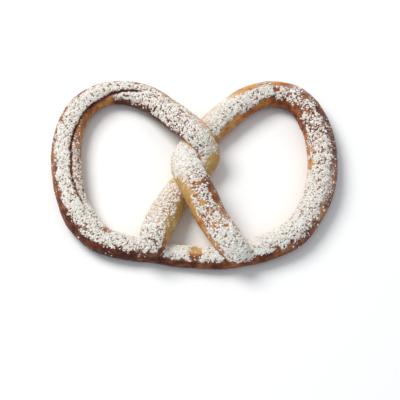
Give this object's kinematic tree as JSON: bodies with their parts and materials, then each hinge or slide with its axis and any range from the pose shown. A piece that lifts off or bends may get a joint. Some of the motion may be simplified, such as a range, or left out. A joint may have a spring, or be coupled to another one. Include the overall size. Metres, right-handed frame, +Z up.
{
  "type": "soft pretzel",
  "caption": "Sugar-dusted soft pretzel: one rope of dough tied in a full twist, with both ends fused to the bottom bar.",
  "frame": {"origin": "on the surface that the pretzel rests on, under the middle of its outline", "axes": "+Z up, +X across the two loops, +Y from the bottom bar to the tops of the loops"},
  "size_m": [0.1809, 0.1339, 0.0267],
  "materials": {
    "crust": "satin",
    "sugar": "matte"
  },
  "bodies": {
    "root": {"pretzel": "crust"}
  },
  "joints": []
}
